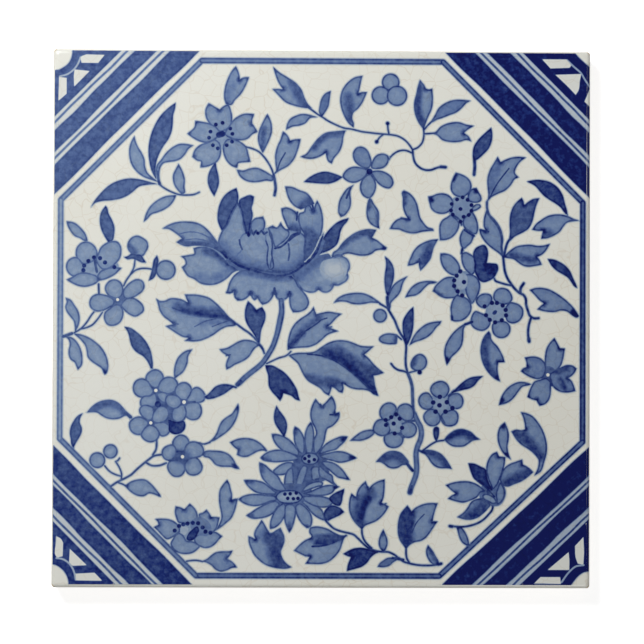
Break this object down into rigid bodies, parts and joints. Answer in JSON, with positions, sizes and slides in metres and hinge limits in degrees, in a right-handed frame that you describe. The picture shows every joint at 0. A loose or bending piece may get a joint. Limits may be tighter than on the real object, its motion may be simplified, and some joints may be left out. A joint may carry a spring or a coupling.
{
  "type": "wall tile",
  "caption": "Square glazed earthenware tile with a blue underglaze print: a flower panel in an eight-sided line, with banded corners; keyed back for bedding on a wall",
  "frame": {"origin": "the middle of the back face, which is the bottom of the bounding box", "axes": "+Z out of the glazed face, +Y towards the top of the print, +X to the right of the print"},
  "size_m": [0.1524, 0.1524, 0.0095],
  "materials": {
    "biscuit": "matte",
    "glaze": "gloss",
    "dark_ink": "satin",
    "pale_ink": "satin"
  },
  "bodies": {
    "root": {"biscuit_body": "biscuit", "glaze_coat": "glaze", "octagon_line": "pale_ink", "corner_fret_nw": "dark_ink", "corner_fret_ne": "dark_ink", "corner_fret_sw": "dark_ink", "corner_fret_se": "dark_ink", "inner_band_nw": "dark_ink", "inner_band_ne": "dark_ink", "inner_band_sw": "dark_ink", "inner_band_se": "dark_ink", "inner_hairline_nw": "dark_ink", "inner_hairline_ne": "dark_ink", "inner_hairline_sw": "dark_ink", "inner_hairline_se": "dark_ink", "outer_band_nw": "dark_ink", "outer_band_ne": "dark_ink", "outer_band_sw": "dark_ink", "outer_band_se": "dark_ink", "outer_hairline_nw": "dark_ink", "outer_hairline_ne": "dark_ink", "outer_hairline_sw": "dark_ink", "outer_hairline_se": "dark_ink"}
  },
  "joints": []
}
